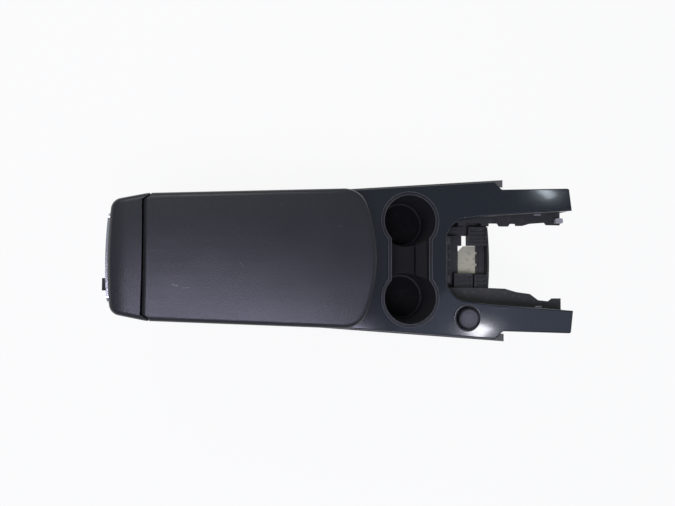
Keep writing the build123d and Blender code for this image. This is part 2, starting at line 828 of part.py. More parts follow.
for side, name in ((1, "cup_grip_left"), (-1, "cup_grip_right")):
    with BuildPart() as cup_grip:
        with BuildSketch(Plane.XZ.offset(-side * cup_y)):
            with BuildLine():
                ThreePointArc(
                    (grip_x + grip_thick, grip_z + grip_thick),
                    (grip_x + grip_bulge, grip_z - grip_length / 2),
                    (grip_x + grip_thick, grip_z - grip_length),
                )
                Polyline(
                    (grip_x + grip_thick, grip_z - grip_length),
                    (grip_x, grip_z - grip_length),
                    (grip_x - grip_thick, grip_z),
                    (grip_x - grip_thick, grip_z + grip_thick),
                    (grip_x + grip_thick, grip_z + grip_thick),
                )
            make_face()
        extrude(amount=grip_half, both=True)
        reach = grip_half + grip_ear
        rod(grip_x, grip_z, grip_pin_r, side * cup_y - reach, side * cup_y + reach)
    finish(cup_grip, name)

for side, name in ((1, "grip_spring_left"), (-1, "grip_spring_right")):
    with BuildPart() as grip_spring:
        fix_x = cup_x - cup_radius - cup_wall - fit_gap
        back_x = grip_x - grip_thick - spring_gap
        window_top = grip_z + 3 * grip_thick
        with BuildSketch(Plane.XZ.offset(-side * cup_y)):
            with BuildLine():
                Polyline(
                    (fix_x, window_top + grip_spring_fix),
                    (fix_x, window_top),
                    (back_x, grip_z + grip_thick),
                    (back_x, grip_z - grip_spring_drop),
                    (back_x - spring_wall, grip_z - grip_spring_drop),
                    (back_x - spring_wall, grip_z + grip_thick),
                    (fix_x - spring_wall, window_top),
                    (fix_x - spring_wall, window_top + grip_spring_fix),
                    close=True,
                )
            make_face()
        extrude(amount=spring_half, both=True)
    finish(grip_spring, name)

# Lighter: bezel, socket, pull-out sleeve and knob, square to the crowned trim
with BuildPart() as lighter_bezel:
    with BuildSketch(lighter_plane.offset(seat_gap)):
        Circle(bezel_r)
    extrude(amount=bezel_thick)
    fillet(faces().sort_by(Axis.Z)[-1].edges(), radius=bezel_thick / 2)
    with BuildSketch(lighter_plane.offset(seat_gap)):
        Circle(bezel_bore + bezel_tube)
    extrude(amount=-well_depth - bezel_tube)
    with BuildSketch(lighter_plane.offset(-well_depth)):
        Circle(bezel_bore)
    extrude(amount=well_depth + beyond, mode=Mode.SUBTRACT)
    with BuildSketch(lighter_plane.offset(-well_depth)):
        Circle(socket_r + socket_wall)
    extrude(amount=-beyond, mode=Mode.SUBTRACT)
finish(lighter_bezel, "lighter_bezel")

with BuildPart() as lighter_socket:
    with BuildSketch(lighter_plane.offset(-well_depth - bezel_tube)):
        Circle(socket_r + socket_wall + 2 * bezel_tube)
    extrude(amount=-bezel_tube)
    with BuildSketch(lighter_plane.offset(-well_depth - bezel_tube)):
        Circle(socket_r + socket_wall)
    extrude(amount=-socket_depth)
    with BuildSketch(lighter_plane.offset(-well_depth - bezel_tube - socket_depth)):
        Rectangle(terminal_size, terminal_size)
    extrude(amount=-terminal_rise)
    with BuildSketch(lighter_plane.offset(-well_depth)):
        Circle(socket_r)
    extrude(amount=-socket_depth, mode=Mode.SUBTRACT)
finish(lighter_socket, "lighter_socket")

sleeve_r = socket_r - plug_play
stem_r = sleeve_r - sleeve_wall - plug_play
with BuildPart() as lighter_sleeve:
    with BuildSketch(lighter_plane.offset(-well_depth)):
        Circle(sleeve_r)
    extrude(amount=-sleeve_length)
    with BuildSketch(lighter_plane.offset(-well_depth)):
        Circle(sleeve_r - sleeve_wall)
    extrude(amount=-sleeve_length + element_thick, mode=Mode.SUBTRACT)
finish(lighter_sleeve, "lighter_sleeve")

with BuildPart() as lighter_knob:
    with BuildSketch(lighter_plane.offset(knob_rise)):
        Circle(knob_r)
    extrude(amount=-knob_thick)
    fillet(edges().group_by(Axis.Z)[-1], radius=knob_round)
    with BuildSketch(lighter_plane.offset(knob_rise - knob_thick)):
        Circle(stem_r)
    extrude(amount=-stem_length)
finish(lighter_knob, "lighter_knob")

# End cap behind the lid, cut to the sweep of the lid's tail
with BuildPart() as end_cap:
    add_loaf(ledge_z - cap_skirt)
    cap_front_x = hinge_x - cap_front_reach
    block(cap_front_x, lid_front_x + beyond, -far, far, 0, lid_top_z + beyond, Mode.SUBTRACT)
    turn_spool(tail_gap, Mode.SUBTRACT)
    with BuildSketch(Plane.XY.offset(ledge_z - cap_skirt)):
        body_plan(-fit_gap, body_front_x, end_inset - fit_gap)
    extrude(amount=cap_skirt, mode=Mode.SUBTRACT)
    with BuildPart(mode=Mode.PRIVATE) as cap_void:
        with BuildSketch(Plane.XY.offset(ledge_z)):
            loaf_plan(cap_seat)
        extrude(amount=lid_top_z)
        crop_to_crown(lid_top_z - edge_round, ledge_z, Mode.INTERSECT)
        void_front_x = hinge_x - tail_radius - tail_gap - cap_wall
        block(void_front_x, lid_front_x + beyond, -far, far, 0, lid_top_z + beyond, Mode.SUBTRACT)
    add(cap_void.part, mode=Mode.SUBTRACT)
    block(
        void_front_x - fit_gap,
        hinge_x,
        -tongue_half - fit_gap,
        tongue_half + fit_gap,
        0,
        flange_z + bracket_wall + screw_head + fit_gap,
        Mode.SUBTRACT,
    )
finish(end_cap, "end_cap")

# Lid: soft pad over a hard inner panel
with BuildPart() as tail_cutter:
    block(rear_x - beyond, hinge_x, -far, far, 0, lid_top_z + beyond)
    turn_spool(0, Mode.SUBTRACT)

with BuildPart() as armrest_pad:
    add_loaf(lid_base_z + pad_foot)
    add(tail_cutter.part, mode=Mode.SUBTRACT)
    with BuildSketch(Plane.XY.offset(lid_base_z)):
        loaf_plan(pad_wall)
        with Locations(((rear_x + hinge_pocket_x) / 2 - beyond, 0)):
            Rectangle(hinge_pocket_x - rear_x + 2 * beyond, far, mode=Mode.SUBTRACT)
    extrude(amount=panel_rise, mode=Mode.SUBTRACT)
    block(
        rear_x,
        hinge_pocket_x,
        -hinge_pocket_half,
        hinge_pocket_half,
        lid_base_z,
        lid_top_z - pad_roof,
        Mode.SUBTRACT,
    )
    with BuildSketch(Plane.XY.offset(lid_base_z)):
        loaf_plan(pad_wall)
        with Locations(((recess_rear_x - recess_wall - fit_gap + lid_front_x) / 2, 0)):
            recess_span = lid_front_x - recess_rear_x + recess_wall + fit_gap
            Rectangle(recess_span, 2 * (recess_half + recess_wall + fit_gap), mode=Mode.INTERSECT)
    extrude(amount=recess_rise + recess_roof + fit_gap, mode=Mode.SUBTRACT)
    block(
        recess_rear_x,
        lid_front_x + beyond,
        -recess_half,
        recess_half,
        lid_base_z,
        lid_base_z + recess_rise,
        Mode.SUBTRACT,
    )
finish(armrest_pad, "armrest_pad")

with BuildPart() as lid_panel:
    with BuildSketch(Plane.XY.offset(lid_base_z)):
        loaf_plan(pad_wall + fit_gap)
        with Locations(((rear_x + hinge_pocket_x) / 2 - beyond, 0)):
            Rectangle(hinge_pocket_x + fit_gap - rear_x + 2 * beyond, far, mode=Mode.SUBTRACT)
    extrude(amount=panel_rise)
    with BuildSketch(Plane.XY.offset(lid_base_z + lid_panel_wall)):
        loaf_plan(pad_wall + fit_gap + lid_panel_wall)
        with Locations(((rear_x + hinge_pocket_x) / 2 - beyond, 0)):
            hollow = hinge_pocket_x + fit_gap + 2 * lid_panel_wall - rear_x + 2 * beyond
            Rectangle(hollow, far, mode=Mode.SUBTRACT)
    extrude(amount=panel_rise, mode=Mode.SUBTRACT)
    with BuildSketch(Plane.XY.offset(lid_base_z)):
        loaf_plan(pad_wall + fit_gap)
        with Locations(((recess_rear_x - recess_wall + lid_front_x) / 2, 0)):
            recess_span = lid_front_x - recess_rear_x + recess_wall
            Rectangle(recess_span, 2 * (recess_half + recess_wall), mode=Mode.INTERSECT)
    extrude(amount=recess_rise + recess_roof)
    block(
        recess_rear_x,
        lid_front_x + beyond,
        -recess_half,
        recess_half,
        0,
        lid_base_z + recess_rise,
        Mode.SUBTRACT,
    )
    reach = recess_half + recess_wall
    rod(paddle_x, paddle_z, paddle_pin_r + pivot_play, -reach, reach, Mode.SUBTRACT)
    for side in (1, -1):
        ear_inner = ear_half + move_gap
        block(
            hinge_x,
            hinge_pocket_x + fit_gap + 3 * lid_panel_wall,
            side * (ear_inner - fit_gap),
            side * (ear_inner + ear_wall + fit_gap),
            lid_base_z + lid_panel_wall,
            lid_top_z,
            Mode.SUBTRACT,
        )
    for screw_x in (leaf_front_x - screw_inset, leaf_front_x - 3 * screw_inset):
        for side in (1, -1):
            with Locations((screw_x, side * (ear_half - 2 * screw_inset), lid_base_z + lid_panel_wall)):
                Hole(screw_r + screw_play, depth=lid_panel_wall)
finish(lid_panel, "lid_panel")

# Hinge: bracket on the bin's tongue, leaf in the lid, pin through both pairs of ears
with BuildPart() as hinge_bracket:
    block(bracket_rear_x, bracket_front_x, -ear_half, ear_half, flange_z, flange_z + bracket_wall)
    for side in (1, -1):
        with BuildSketch(Plane.XZ.offset(-side * (ear_half - ear_wall / 2))):
            with BuildLine():
                Polyline(
                    (hinge_x - knuckle_r, flange_z),
                    (hinge_x - knuckle_r, hinge_z),
                    (hinge_x + knuckle_r, hinge_z),
                    (hinge_x + bracket_root, flange_z),
                    close=True,
                )
            make_face()
            with Locations((hinge_x, hinge_z)):
                Circle(knuckle_r)
                Circle(pin_r, mode=Mode.SUBTRACT)
        extrude(amount=ear_wall / 2, both=True)
    for screw_y in bracket_screws_y:
        with Locations((bracket_screw_x, screw_y, flange_z + bracket_wall)):
            Hole(screw_r + screw_play, depth=bracket_wall)
finish(hinge_bracket, "hinge_bracket")

leaf_z = lid_base_z + lid_panel_wall
leaf_rear_x = hinge_pocket_x + fit_gap + 3 * lid_panel_wall
with BuildPart() as hinge_leaf:
    leaf_half = ear_half + move_gap + ear_wall
    block(leaf_rear_x, leaf_front_x, -leaf_half, leaf_half, leaf_z, leaf_z + leaf_wall)
    for side in (1, -1):
        with BuildSketch(Plane.XZ.offset(-side * (leaf_half - ear_wall / 2))):
            with BuildLine():
                Polyline(
                    (hinge_x, hinge_z + knuckle_r),
                    (hinge_x, hinge_z - knuckle_r),
                    (hinge_pocket_x, leaf_z + fit_gap),
                    (leaf_rear_x + knuckle_r, leaf_z + fit_gap),
                    (leaf_rear_x + knuckle_r, lid_panel_z - leaf_wall),
                    (hinge_pocket_x, lid_panel_z - leaf_wall),
                    close=True,
                )
            make_face()
            with Locations((hinge_x, hinge_z)):
                Circle(knuckle_r)
                Circle(pin_r + pin_play, mode=Mode.SUBTRACT)
        extrude(amount=ear_wall / 2, both=True)
    for screw_x in (leaf_front_x - screw_inset, leaf_front_x - 3 * screw_inset):
        for side in (1, -1):
            with Locations((screw_x, side * (ear_half - 2 * screw_inset), leaf_z + leaf_wall)):
                Hole(screw_r + screw_play, depth=leaf_wall)
finish(hinge_leaf, "hinge_leaf")

with BuildPart() as hinge_pin:
    pin_reach = leaf_half + move_gap
    rod(hinge_x, hinge_z, pin_r, -pin_reach, pin_reach)
    rod(hinge_x, hinge_z, pin_head_r, pin_reach, pin_reach + pin_head)
    rod(hinge_x, hinge_z, pin_head_r, -pin_reach - pin_head, -pin_reach)
finish(hinge_pin, "hinge_pin")

# Latch: paddle under the lid's nose, its hook goes down through the trim to the keeper
with BuildPart() as latch_paddle:
    rod(paddle_x, paddle_z, paddle_barrel_r, move_gap - recess_half, recess_half - move_gap)
    block(
        paddle_x,
        paddle_front_x,
        move_gap - recess_half,
        recess_half - move_gap,
        paddle_z - paddle_barrel_r,
        paddle_z - paddle_barrel_r + paddle_thick,
    )
    with BuildSketch(Plane.XY.offset(lid_base_z)):
        loaf_plan(pad_wall + 2 * move_gap)
    extrude(amount=recess_rise, mode=Mode.INTERSECT)
    block(
        paddle_x - hook_thick / 2,
        paddle_x + hook_thick / 2,
        -hook_half,
        hook_half,
        deck_z - hook_drop,
        paddle_z,
    )
    block(
        paddle_x - hook_thick / 2 - hook_nose,
        paddle_x,
        -hook_half,
        hook_half,
        deck_z - hook_drop,
        deck_z - hook_drop + nose_rise,
    )
    reach = recess_half + recess_wall - move_gap
    rod(paddle_x, paddle_z, paddle_pin_r, -reach, reach)
finish(latch_paddle, "latch_paddle")

with BuildPart() as latch_keeper:
    keeper_front_x = paddle_x - hook_thick / 2 - hook_nose - move_gap
    block(
        keeper_front_x - keeper_length,
        keeper_front_x,
        -keeper_half,
        keeper_half,
        trim_under_z - seat_gap - keeper_wall,
        trim_under_z - seat_gap,
    )
finish(latch_keeper, "latch_keeper")

with BuildPart() as latch_spring:
    roof_z = lid_base_z + recess_rise
    tip_z = paddle_z - paddle_barrel_r + paddle_thick + spring_gap
    with BuildSketch(Plane.XZ.offset(-latch_spring_y)):
        with BuildLine():
            Polyline(
                (latch_spring_x, roof_z),
                (latch_spring_x + spring_length, roof_z),
                (latch_spring_x + 2 * spring_wall, tip_z),
                (latch_spring_x, tip_z + spring_wall),
                (latch_spring_x + spring_length - 3 * spring_wall, roof_z - spring_wall),
                (latch_spring_x, roof_z - spring_wall),
                close=True,
            )
        make_face()
    extrude(amount=spring_half, both=True)
finish(latch_spring, "latch_spring")

# Rear panel with the vent: bezel, housing, vanes, links and duct
with BuildPart() as rear_panel:
    rear_skin(seat_gap, seat_gap + panel_wall)
    with BuildSketch(Plane.YZ):
        panel_tall = ledge_z - panel_drop - panel_foot_z
        with Locations((0, panel_foot_z + panel_tall / 2)):
            RectangleRounded(2 * panel_half, panel_tall, panel_corner)
    extrude(amount=rear_x - beyond, mode=Mode.INTERSECT)
    block(gap_x - body_corner, gap_x + 2 * beyond, -far, far, 0, lid_top_z, Mode.SUBTRACT)
    block(
        rear_x - beyond,
        gap_x,
        -housing_half - fit_gap,
        housing_half + fit_gap,
        vent_z - housing_rise - fit_gap,
        vent_z + housing_rise + fit_gap,
        Mode.SUBTRACT,
    )
finish(rear_panel, "rear_panel")

bezel_half = housing_half - housing_wall + bezel_border
bezel_rise = outlet_rise + bezel_border
for name, seat, depth, inset in (
    ("vent_pod", pod_seat, pod_wall, pod_inset),
    ("vent_bezel", bezel_seat, bezel_wall, 0),
):
    with BuildPart() as vent_frame:
        rear_skin(seat, seat + depth)
        with BuildSketch(Plane.YZ):
            with Locations((0, vent_z)):
                RectangleRounded(2 * (bezel_half - inset), 2 * (bezel_rise - inset), bezel_corner - inset)
        extrude(amount=rear_x - beyond, mode=Mode.INTERSECT)
        block(gap_x - body_corner, gap_x + 2 * beyond, -far, far, 0, lid_top_z, Mode.SUBTRACT)
        with BuildSketch(Plane.YZ):
            with Locations((vent_y, vent_z), (-vent_y, vent_z)):
                RectangleRounded(
                    2 * (outlet_half - bezel_lip),
                    2 * (outlet_rise - bezel_lip),
                    bezel_corner / 2,
                )
        extrude(amount=far, both=True, mode=Mode.SUBTRACT)
    finish(vent_frame, name)

housing_inset = end_inset - pod_seat + draft_in(vent_z - housing_rise)
housing_rear_x = bow_x(housing_inset, housing_half) + seat_gap
housing_front_x = housing_rear_x + housing_depth
with BuildPart() as vent_housing:
    block(
        housing_rear_x,
        housing_front_x,
        -housing_half,
        housing_half,
        vent_z - housing_rise,
        vent_z + housing_rise,
    )
    for side in (1, -1):
        block(
            housing_rear_x - beyond,
            housing_front_x + beyond,
            side * vent_y - outlet_half,
            side * vent_y + outlet_half,
            vent_z - outlet_rise,
            vent_z + outlet_rise,
            Mode.SUBTRACT,
        )
        for step in (-1, 0, 1):
            reach = outlet_half + vane_pin_reach
            rod(
                vane_x,
                vent_z + step * vane_pitch,
                vane_pin_r + pivot_play,
                side * vent_y - reach,
                side * vent_y + reach,
                Mode.SUBTRACT,
            )
finish(vent_housing, "vent_housing")

link_room = link_wall + 2 * move_gap
for side, side_name in ((1, "left"), (-1, "right")):
    for step, step_name in ((1, "upper"), (0, "middle"), (-1, "lower")):
        with BuildPart() as vane:
            vane_z = vent_z + step * vane_pitch
            mid_y = side * vent_y
            near_y = mid_y - side * (outlet_half - move_gap)
            link_y = mid_y + side * (outlet_half - link_room - move_gap)
            with BuildSketch(Plane.XZ.offset(-near_y)):
                with BuildLine():
                    for bulge in (1, -1):
                        ThreePointArc(
                            (vane_x - vane_chord / 2, vane_z),
                            (vane_x, vane_z + bulge * vane_thick / 2),
                            (vane_x + vane_chord / 2, vane_z),
                        )
                make_face()
            extrude(amount=near_y - link_y)
            reach = outlet_half + vane_pin_reach - move_gap
            rod(vane_x, vane_z, vane_pin_r, mid_y - reach, mid_y + reach)
            crank_y = link_y + side * (link_room - move_gap)
            rod(vane_x + crank_arm, vane_z, crank_pin_r, link_y - side * link_wall, crank_y)
            if step == 0:
                tab_y = mid_y + side * tab_off
                block(
                    tab_tip_x if side < 0 else tab_tip_x + tab_reach - short_tab_reach,
                    tab_tip_x + tab_reach,
                    tab_y - tab_half,
                    tab_y + tab_half,
                    vane_z - tab_thick / 2,
                    vane_z + tab_thick / 2,
                )
        finish(vane, "vent_vane_" + side_name + "_" + step_name)
    with BuildPart() as vent_link:
        link_near = link_y + side * move_gap
        block(
            vane_x + crank_arm - link_width / 2,
            vane_x + crank_arm + link_width / 2,
            link_near,
            link_near + side * link_wall,
            vent_z - vane_pitch - link_tail,
            vent_z + vane_pitch + link_tail,
        )
        for step in (-1, 0, 1):
            rod(
                vane_x + crank_arm,
                vent_z + step * vane_pitch,
                crank_pin_r + pivot_play,
                link_near,
                link_near + side * link_wall,
                Mode.SUBTRACT,
            )
    finish(vent_link, "vent_link_" + side_name)

with BuildPart() as air_duct:
    mouth_x = housing_front_x - duct_overlap
    face_x = mouth_x + duct_run
    duct_half = housing_half + fit_gap
    duct_rise = housing_rise + fit_gap
    for shell, mode in ((duct_wall, Mode.ADD), (0, Mode.SUBTRACT)):
        end = 0 if shell else beyond
        with BuildSketch(Plane.XZ):
            with BuildLine():
                Polyline(
                    (mouth_x - end, vent_z + duct_rise + shell),
                    (face_x + shell, vent_z + duct_rise + shell),
                    (face_x + shell, duct_foot_z - end),
                    (face_x - duct_depth - shell, duct_foot_z - end),
                    (face_x - duct_depth - shell, vent_z - duct_rise - shell),
                    (mouth_x - end, vent_z - duct_rise - shell),
                    close=True,
                )
            make_face()
            bend = vertices().sort_by_distance((face_x + shell, vent_z + duct_rise + shell))[0]
            fillet(bend, radius=duct_round + shell)
        extrude(amount=duct_half + shell, both=True, mode=mode)
finish(air_duct, "air_duct")

# Cross-member under the shifter slot
with BuildPart() as shifter_frame:
    frame_half_rear = body_half(frame_rear_x) - wall - foot_inset / 2 - frame_gap
    frame_half_front = body_half(frame_front_x) - wall - foot_inset / 2 - frame_gap
    with BuildSketch(Plane.XY.offset(frame_z - frame_wall)):
        with BuildLine():
            Polyline(
                (frame_front_x, frame_half_front),
                (frame_rear_x, frame_half_rear),
                (frame_rear_x, -frame_half_rear),
                (frame_front_x, -frame_half_front),
            )
            ThreePointArc(
                (frame_front_x, -frame_half_front),
                (frame_front_x + frame_bow, 0),
                (frame_front_x, frame_half_front),
            )
        make_face()
        left_y = foot_half - window_left
        step_y = foot_half - window_step
        right_y = window_right - foot_half
        with Locations(((window_rear_x + window_front_x) / 2, (step_y + right_y) / 2)):
            Rectangle(window_front_x - window_rear_x, step_y - right_y, mode=Mode.SUBTRACT)
        with Locations(((window_step_rear_x + window_step_front_x) / 2, (left_y + step_y) / 2)):
            step_span = window_step_front_x - window_step_rear_x
            Rectangle(step_span, left_y - step_y + plate_tab, mode=Mode.SUBTRACT)
        with Locations((window_front_x, plate_tab_left), (window_front_x, plate_tab_right)):
            Rectangle(2 * plate_tab, plate_tab_width, mode=Mode.SUBTRACT)
    extrude(amount=frame_wall)
    lip_z = ledge_z - apron_drop - frame_wall
    block(frame_rear_x, frame_rear_x + frame_wall, -apron_half, apron_half, frame_z, lip_z)
    block(frame_rear_x, lip_front_x, -apron_half, apron_half, lip_z, lip_z + frame_wall)
    for step in (-1.5, -0.5, 0.5, 1.5):
        block(
            dash_rear_x,
            dash_front_x,
            step * dash_pitch - dash_length / 2,
            step * dash_pitch + dash_length / 2,
            lip_z - wall,
            lip_z + 2 * wall,
            Mode.SUBTRACT,
        )
    block(
        crease_x,
        crease_x + rib_wall / 2,
        right_y,
        step_y,
        frame_z - frame_wall / 2,
        frame_z + rib_rise,
        Mode.SUBTRACT,
    )
    block_front_x = frame_front_x - frame_gap
    for x0, x1, y0, y1 in (
        (window_step_front_x, block_front_x, step_y, foot_half),
        (right_block_rear_x, block_front_x, -foot_half, right_y - rib_wall),
        (low_block_rear_x, low_block_front_x, low_block_gap - foot_half, right_y),
    ):
        block(x0, x1, y0, y1, frame_z, frame_z + rib_rise)
        grooves = int((y1 - y0) / rib_pitch)
        for step in range(grooves):
            groove_y = (y0 + y1) / 2 + (step - (grooves - 1) / 2) * rib_pitch
            block(
                x0 + rib_wall,
                x1 - rib_wall,
                groove_y - (rib_pitch - rib_wall) / 2,
                groove_y + (rib_pitch - rib_wall) / 2,
                frame_z + rib_rise - rib_depth,
                frame_z + rib_rise,
                Mode.SUBTRACT,
            )
    for rib_y in (left_y, foot_half - rib_wall / 2):
        block(
            side_rib_rear_x,
            window_rear_x - rib_wall,
            rib_y - rib_wall,
            rib_y,
            frame_z,
            frame_z + rib_rise,
        )
    with BuildSketch(Plane.XY.offset(frame_z - frame_bar_low)):
        with BuildLine():
            bar_front = ThreePointArc(
                (frame_front_x, -foot_half),
                (frame_front_x + frame_bow - frame_gap, 0),
                (frame_front_x, foot_half),
            )
            bar_rear = ThreePointArc(
                (frame_front_x - frame_wall, -foot_half),
                (frame_front_x + frame_bow - frame_gap - frame_wall, 0),
                (frame_front_x - frame_wall, foot_half),
            )
            Line(bar_front @ 0, bar_rear @ 0)
            Line(bar_front @ 1, bar_rear @ 1)
        make_face()
    extrude(amount=frame_bar_low + frame_bar_rise)
    with BuildSketch(Plane.XY.offset(frame_z - frame_wall)):
        with Locations((lighter_x, lighter_y)):
            Circle(socket_r + socket_wall + socket_room)
    extrude(amount=frame_wall, mode=Mode.SUBTRACT)
    for boss_x in (boss_rear_x, boss_front_x):
        for side in (1, -1):
            boss_y = body_half(boss_x) - wall - boss_size / 2
            with Locations((boss_x, side * boss_y, frame_z)):
                Hole(screw_r + screw_play, depth=frame_wall)
finish(shifter_frame, "shifter_frame")

# Inner rails under the forks, each with its own profiled foot flange
for side, name, foot in ((1, "inner_rail_left", left_rail_foot), (-1, "inner_rail_right", right_rail_foot)):
    with BuildPart() as inner_rail:
        rail_top = ledge_z - seat_gap
        shelf_rear_x = lighter_x + bezel_r + shelf_gap
        for grow, start_x, low_z in (
            (rail_wall, rail_rear_x, rail_low_z),
            (rail_shelf, shelf_rear_x, rail_top - rail_wall),
        ):
            with BuildSketch(Plane.XY.offset(low_z)):
                slot_plan(seat_gap + grow, Mode.ADD)
                slot_plan(seat_gap, Mode.SUBTRACT)
                with Locations(((start_x + rail_front_x) / 2, side * far / 2)):
                    Rectangle(rail_front_x - start_x, far - slot_half_base, mode=Mode.INTERSECT)
            extrude(amount=rail_top - low_z)
        with BuildSketch(Plane.XY.offset(rail_low_z)):
            with BuildLine():
                edge = [(x, side * (slot_half_knee - reach)) for x, reach in foot]
                rear_edge = (rail_rear_x, edge[0][1])
                far_rear = (rail_rear_x, side * far)
                far_front = (rail_front_x, side * far)
                Polyline(rear_edge, *edge, far_front, far_rear, close=True)
            make_face()
            slot_plan(seat_gap + rail_wall, Mode.INTERSECT)
        extrude(amount=rail_wall)
        for slot_x in (rail_slot_rear_x, rail_slot_front_x):
            block(
                slot_x - rail_slot / 2,
                slot_x + rail_slot / 2,
                0,
                side * far,
                rail_top - rail_wall - 2 * rail_slot_height,
                rail_top - rail_wall - rail_slot_height,
                Mode.SUBTRACT,
            )
        for foot_x in (rail_foot_rear_x, rail_foot_front_x):
            foot_y = slot_half_knee - rail_foot
            block(
                foot_x - rail_foot / 2,
                foot_x + rail_foot / 2,
                side * foot_y,
                side * (foot_y + rail_foot / 2),
                frame_z,
                rail_low_z + rail_wall,
            )
    finish(inner_rail, name)

# Metal clips and a foam pad on the rails
with BuildPart() as rail_clips:
    for side in (1, -1):
        slope = (slot_half_tip - slot_half_knee) / (fork_tip_x - slot_knee_x)
        clip_y = slot_half_knee + slope * (clip_x - slot_knee_x) - move_gap
        clip_top = ledge_z - clip_height
        block(
            clip_x - clip_length / 2,
            clip_x + clip_length / 2,
            side * (clip_y - clip_wall),
            side * clip_y,
            clip_top - clip_height,
            clip_top,
        )
        block(
            clip_x - clip_length / 2,
            clip_x + clip_length / 2,
            side * (clip_y - 3 * clip_wall),
            side * clip_y,
            clip_top - clip_wall,
            clip_top,
        )
finish(rail_clips, "rail_clips")

with BuildPart() as rail_pad:
    pad_y = slot_half_knee - left_rail_foot[-1][1] + pad_inset
    block(
        rail_front_x + pad_past - pad_length,
        rail_front_x + pad_past,
        pad_y,
        pad_y + pad_width,
        rail_low_z + rail_wall,
        rail_low_z + rail_wall + pad_height,
    )
    fillet(edges().filter_by(Axis.Z), radius=pad_width / 3)
finish(rail_pad, "rail_pad")

# Sheet plate hung under the cross-member's window
with BuildPart() as sheet_plate:
    plate_front_x = window_front_x + plate_lap
    plate_left = step_y - fit_gap
    plate_right = right_y - plate_lap
    with BuildSketch(Plane.XY.offset(frame_z - frame_wall - plate_wall)):
        with BuildLine():
            Polyline(
                (plate_rear_x, plate_right),
                (plate_front_x, plate_right),
                (plate_front_x, plate_left),
                (plate_rear_x + plate_clip, plate_left),
                (plate_rear_x, plate_left - plate_clip),
                close=True,
            )
        make_face()
    extrude(amount=plate_wall)
finish(sheet_plate, "sheet_plate")

# Screws of one size, grouped by what they hold
with BuildPart() as bracket_screws:
    for screw_y in bracket_screws_y:
        seat = (bracket_screw_x, screw_y, flange_z + bracket_wall)
        with BuildSketch(Plane(seat)):
            Circle(screw_head_r)
        extrude(amount=screw_head)
        with BuildSketch(Plane(seat)):
            Circle(screw_r)
        extrude(amount=-bracket_wall - 2 * bin_wall)
finish(bracket_screws, "bracket_screws")

with BuildPart() as leaf_screws:
    for screw_x in (leaf_front_x - screw_inset, leaf_front_x - 3 * screw_inset):
        for side in (1, -1):
            seat = (screw_x, side * (ear_half - 2 * screw_inset), leaf_z + leaf_wall)
            with BuildSketch(Plane(seat)):
                Circle(screw_head_r)
            extrude(amount=screw_head)
            with BuildSketch(Plane(seat)):
                Circle(screw_r)
            extrude(amount=-leaf_wall - lid_panel_wall)
finish(leaf_screws, "leaf_screws")

with BuildPart() as frame_screws:
    for boss_x in (boss_rear_x, boss_front_x):
        for side in (1, -1):
            seat = (boss_x, side * (body_half(boss_x) - wall - boss_size / 2), frame_z)
            with BuildSketch(Plane(seat)):
                Circle(screw_head_r)
            extrude(amount=screw_head)
            with BuildSketch(Plane(seat)):
                Circle(screw_r)
            extrude(amount=-frame_wall - boss_depth / 2)
finish(frame_screws, "frame_screws")
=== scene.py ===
import json
import math

import bmesh
import bpy
from mathutils import Matrix, Vector, noise


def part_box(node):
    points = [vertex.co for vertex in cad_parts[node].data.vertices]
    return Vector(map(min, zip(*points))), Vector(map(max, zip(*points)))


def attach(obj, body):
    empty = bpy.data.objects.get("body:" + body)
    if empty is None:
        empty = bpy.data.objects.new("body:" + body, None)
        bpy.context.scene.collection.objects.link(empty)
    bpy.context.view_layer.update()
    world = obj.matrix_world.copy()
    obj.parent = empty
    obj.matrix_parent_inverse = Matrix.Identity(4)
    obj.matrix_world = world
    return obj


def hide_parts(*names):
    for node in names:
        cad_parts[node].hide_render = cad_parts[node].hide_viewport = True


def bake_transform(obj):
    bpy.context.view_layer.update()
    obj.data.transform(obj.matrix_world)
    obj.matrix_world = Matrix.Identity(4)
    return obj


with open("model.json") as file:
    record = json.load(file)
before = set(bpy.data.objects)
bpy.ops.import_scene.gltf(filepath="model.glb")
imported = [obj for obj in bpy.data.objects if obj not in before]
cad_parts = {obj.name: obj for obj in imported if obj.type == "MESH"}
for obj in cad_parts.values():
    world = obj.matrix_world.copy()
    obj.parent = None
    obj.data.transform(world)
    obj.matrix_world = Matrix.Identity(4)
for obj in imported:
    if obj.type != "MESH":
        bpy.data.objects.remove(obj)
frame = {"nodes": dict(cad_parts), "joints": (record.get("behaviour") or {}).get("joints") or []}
bpy.context.view_layer.update()
nodes = frame["nodes"]
joints = {joint["name"]: joint for joint in frame["joints"]}

UP = Vector((0, 0, 1))
CAD_WELD = 0.00002  # corners of a CAD mesh this close together are one
FINE_WELD = 0.00001  # the same for cuts and turned shapes


class Wire:
    """A value in a finish's nodes; arithmetic on wires adds Math nodes."""

    def __init__(self, finish, socket):
        self.finish = finish
        self.socket = socket

    def math(self, operation, first, second):
        return self.finish.node("Math", {"operation": operation}, {0: first, 1: second})

    def __add__(self, other):
        return self.math("ADD", self, other)

    __radd__ = __add__

    def __sub__(self, other):
        return self.math("SUBTRACT", self, other)

    def __rsub__(self, other):
        return self.math("SUBTRACT", other, self)

    def __mul__(self, other):
        return self.math("MULTIPLY", self, other)

    __rmul__ = __mul__


